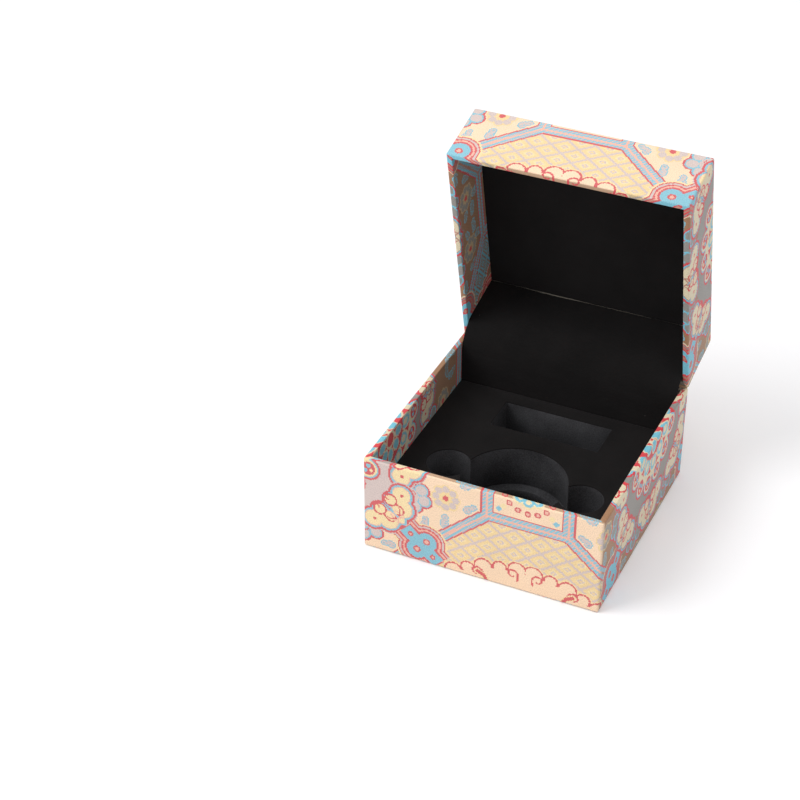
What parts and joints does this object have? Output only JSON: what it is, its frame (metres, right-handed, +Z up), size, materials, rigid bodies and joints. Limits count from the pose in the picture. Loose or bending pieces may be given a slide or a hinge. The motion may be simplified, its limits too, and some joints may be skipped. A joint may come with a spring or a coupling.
{
  "type": "hinged keepsake box",
  "caption": "Hinged keepsake box in figured silk brocade, with a black velvet lining and a foam insert cut for a round piece and a long one.",
  "frame": {"origin": "centre of the underside of the base", "axes": "+X to the right, +Y to the back where the hinge is, +Z up; the lid is at rest swung open"},
  "size_m": [0.11, 0.1409, 0.1617],
  "materials": {
    "brocade": "satin",
    "velvet": "matte",
    "foam": "matte",
    "sponge": "matte",
    "greyboard": "matte",
    "card": "matte",
    "black_paper": "matte"
  },
  "bodies": {
    "base": {"base_floor_board": "greyboard", "base_front_board": "greyboard", "base_back_board": "greyboard", "base_left_board": "greyboard", "base_right_board": "greyboard", "base_brocade_wrap": "brocade", "base_bottom_cloth": "brocade", "floor_paper": "black_paper", "foam_ledge": "foam", "foam_insert": "foam", "foam_velvet": "velvet", "base_back_pad": "sponge", "base_back_velvet": "velvet", "hinge_cloth": "brocade", "hinge_velvet": "velvet"},
    "lid": {"lid_top_board": "greyboard", "lid_front_board": "greyboard", "lid_back_board": "greyboard", "lid_left_board": "greyboard", "lid_right_board": "greyboard", "lid_brocade_wrap": "brocade", "lid_top_cloth": "brocade", "ceiling_card": "card", "ceiling_velvet": "velvet", "lid_back_pad": "sponge", "lid_back_velvet": "velvet"}
  },
  "joints": [
    {"name": "lid_hinge", "type": "hinge", "parent": "base", "child": "lid", "pos_m": [0, 0.0545, 0.04815], "axis": [1, 0, 0], "range_deg": [0, 77], "deforming": ["hinge_cloth", "hinge_velvet"]}
  ]
}
